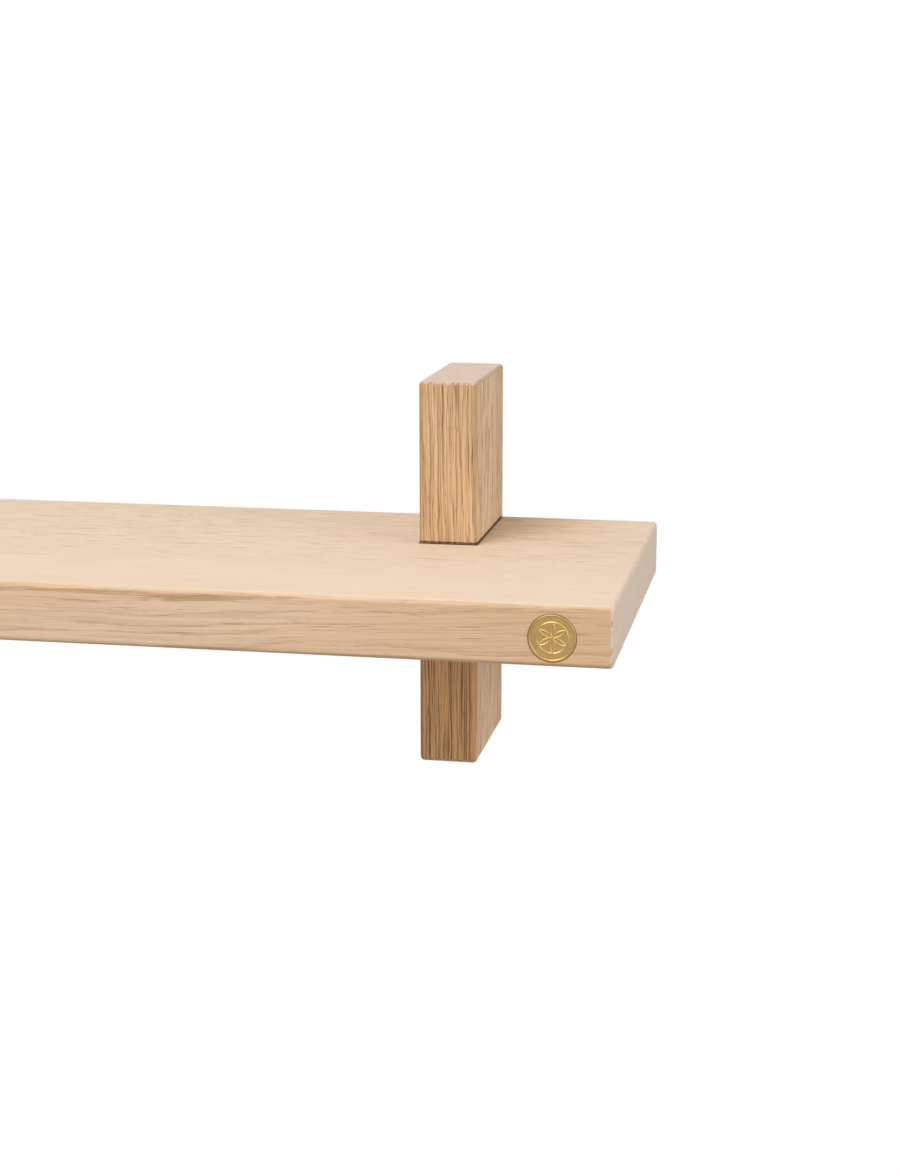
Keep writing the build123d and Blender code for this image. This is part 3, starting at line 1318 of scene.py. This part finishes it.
@dataclass
class WallPads:
    """The rubber discs let into the posts' backs, with rings moulded in their wall side.

    Attributes:
        groove: how deep the rings are.
        pitch: from one ring to the next.
        edge: the radius of the disc's edge.
        inward, around: how many points there are from the middle to the edge, and round the disc.
    """

    groove: float = 0.35 * MM
    pitch: float = 2.0 * MM
    edge: float = 0.4 * MM
    inward: int = 60
    around: int = 96

    def build(self) -> Iterable[bpy.types.Object]:
        """Turns one profile about each pad's axis.

        Yields:
            The pads.
        """
        rubber = moulded("black_rubber", (0.012, 0.012, 0.012), (0.03, 0.03, 0.03), 0.6)
        for side in Side:
            node = f"wall_pad_{side.value}"
            low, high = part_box(node)
            centre = (low + high) / 2
            radius = (high.x - low.x) / 2
            reach = np.linspace(0.0, radius - self.edge, self.inward)
            wave = 0.5 - 0.5 * np.cos(2 * np.pi * reach / self.pitch)
            sunk = self.groove * smooth_step(wave, 0.55, 0.95) * (reach > self.pitch / 2)
            face = np.stack([reach, sunk], axis=-1)
            rim = arc((radius - self.edge, self.edge), self.edge, 270, 360, 6)
            back = np.array([[radius, high.y - low.y], [0.0, high.y - low.y]])
            outline = np.vstack([face, rim, back])
            angle = np.linspace(0.0, 2 * np.pi, self.around, endpoint=False)
            x = centre.x + outline[:, :1] * np.cos(angle)
            z = centre.z + outline[:, :1] * np.sin(angle)
            y = np.broadcast_to(high.y - outline[:, 1:], x.shape)
            piece = surface(f"rubber_pad_{side.value}", np.stack([x, y, z], axis=-1))
            settle(piece, rubber, "rack", "pad_rubber", node)
            yield piece


# ---- Studio


@dataclass(frozen=True)
class SoftBox:
    """A square soft box.

    Attributes:
        name: its name.
        place, aim: where it stands and the point that it faces.
        size: the length of its side.
        power, tint: its power in watts and the colour of its light.
    """

    name: str
    place: Triple
    aim: Triple
    size: float
    power: float
    tint: Colour

    def build(self) -> None:
        """Adds the lamp and turns it to its aim."""
        data = bpy.data.lights.new(self.name, "AREA")
        data.size = self.size
        data.energy = self.power
        data.color = self.tint
        turn = (Vector(self.aim) - Vector(self.place)).to_track_quat("-Z", "Y")
        placed(self.name, data).matrix_world = Matrix.Translation(self.place) @ turn.to_matrix().to_4x4()


@dataclass
class Studio:
    """A white studio: pale floor far below, an even sky and soft boxes, and the camera.

    Attributes:
        place: the camera's place.
        yaw, pitch, roll: how far it turns left, looks up and leans, in degrees.
        lens, film: its focal length and the width of its film, in millimetres.
        sky: the strength of the sky's light.
        floor_height, floor_reach: z of the floor, and half the length of its side.
        boxes: the soft boxes.
    """

    place: Triple = (0.5026, -1.1489, 0.2401)
    yaw: float = 10.842
    pitch: float = -12.913
    roll: float = -0.065
    lens: float = 64.4
    film: float = 36.0
    sky: float = 0.6
    floor_height: float = -1.1
    floor_reach: float = 6.0
    boxes: tuple[SoftBox, ...] = (
        SoftBox("key", (-0.7, -1.1, 2.4), (0.2, -0.1, 0.0), 1.3, 33.5, (1.0, 1.0, 1.0)),
        SoftBox("front", (-0.4, -2.0, 2.0), (0.2, -0.1, 0.0), 1.2, 24.5, (1.0, 0.99, 0.985)),
        SoftBox("fill", (2.1, -0.9, 0.6), (0.4, -0.1, 0.0), 1.4, 17.5, (1.0, 0.98, 0.97)),
    )

    def camera(self) -> None:
        """Makes the camera and looks through it."""
        data = bpy.data.cameras.new("camera")
        data.lens = self.lens
        data.sensor_width = self.film
        data.clip_end = 50.0
        camera = placed("camera", data)
        turn = Matrix.Rotation(math.radians(self.yaw), 4, "Z")
        tilt = Matrix.Rotation(math.radians(90.0 + self.pitch), 4, "X")
        lean = Matrix.Rotation(math.radians(self.roll), 4, "Z")
        camera.matrix_world = Matrix.Translation(self.place) @ turn @ tilt @ lean
        bpy.context.scene.camera = camera

    def world(self) -> None:
        """An even sky that lights the object gently and shows as plain white."""
        world = bpy.data.worlds.new("sky")
        bpy.context.scene.world = world
        graph = Graph.blank(world)
        shown = graph.step("ShaderNodeBackground", ((1.0, 1.0, 1.0), 1.0))
        lit = graph.step("ShaderNodeBackground", ((1.0, 0.96, 0.91), self.sky))
        seen = graph.node("ShaderNodeLightPath").outputs["Is Camera Ray"]
        out = graph.node("ShaderNodeOutputWorld")
        graph.feed(out.inputs["Surface"], graph.step("ShaderNodeMixShader", (seen, lit, shown)))

    def floor(self) -> None:
        """A pale floor that shows plain white from above and lets a view from below through."""
        corners = self.floor_reach * np.array([[-1.0, -1.0], [1.0, -1.0], [1.0, 1.0], [-1.0, 1.0]])
        points = np.hstack([corners, np.full((4, 1), self.floor_height)])
        mesh = bpy.data.meshes.new("floor")
        mesh.from_pydata(points.tolist(), [], [(0, 1, 2, 3)])
        material = bpy.data.materials.new("pale_floor")
        graph = Graph.blank(material)
        paint = graph.step("ShaderNodeBsdfDiffuse", ((0.5, 0.49, 0.48),))
        white = graph.step("ShaderNodeEmission", ((1.0, 1.0, 1.0), 1.0))
        clear = graph.step("ShaderNodeBsdfTransparent", ())
        seen = graph.node("ShaderNodeLightPath").outputs["Is Camera Ray"]
        below = graph.node("ShaderNodeNewGeometry").outputs["Backfacing"]
        top = graph.step("ShaderNodeMixShader", (seen, paint, white))
        out = graph.node("ShaderNodeOutputMaterial")
        graph.feed(out.inputs["Surface"], graph.step("ShaderNodeMixShader", (below, top, clear)))
        mesh.materials.append(material)
        floor = placed("floor", mesh)

    def build(self) -> None:
        """Sets up the whole studio."""
        bpy.context.scene.view_settings.view_transform = "Standard"
        self.camera()
        self.world()
        self.floor()
        for box in self.boxes:
            box.build()


def main() -> None:
    """Builds the studio and every sub-assembly, and reports each piece."""
    logging.basicConfig(level=logging.INFO, format="%(name)s: %(message)s")
    Studio().build()
    for part in (OakFrame(), Fixings(), Medallion(), SaddleLiner(), WallPads()):
        for piece in part.build():
            log.info("%s: %s, %d faces", type(part).__name__, piece.name, len(piece.data.polygons))


if __name__ == "__main__":
    main()
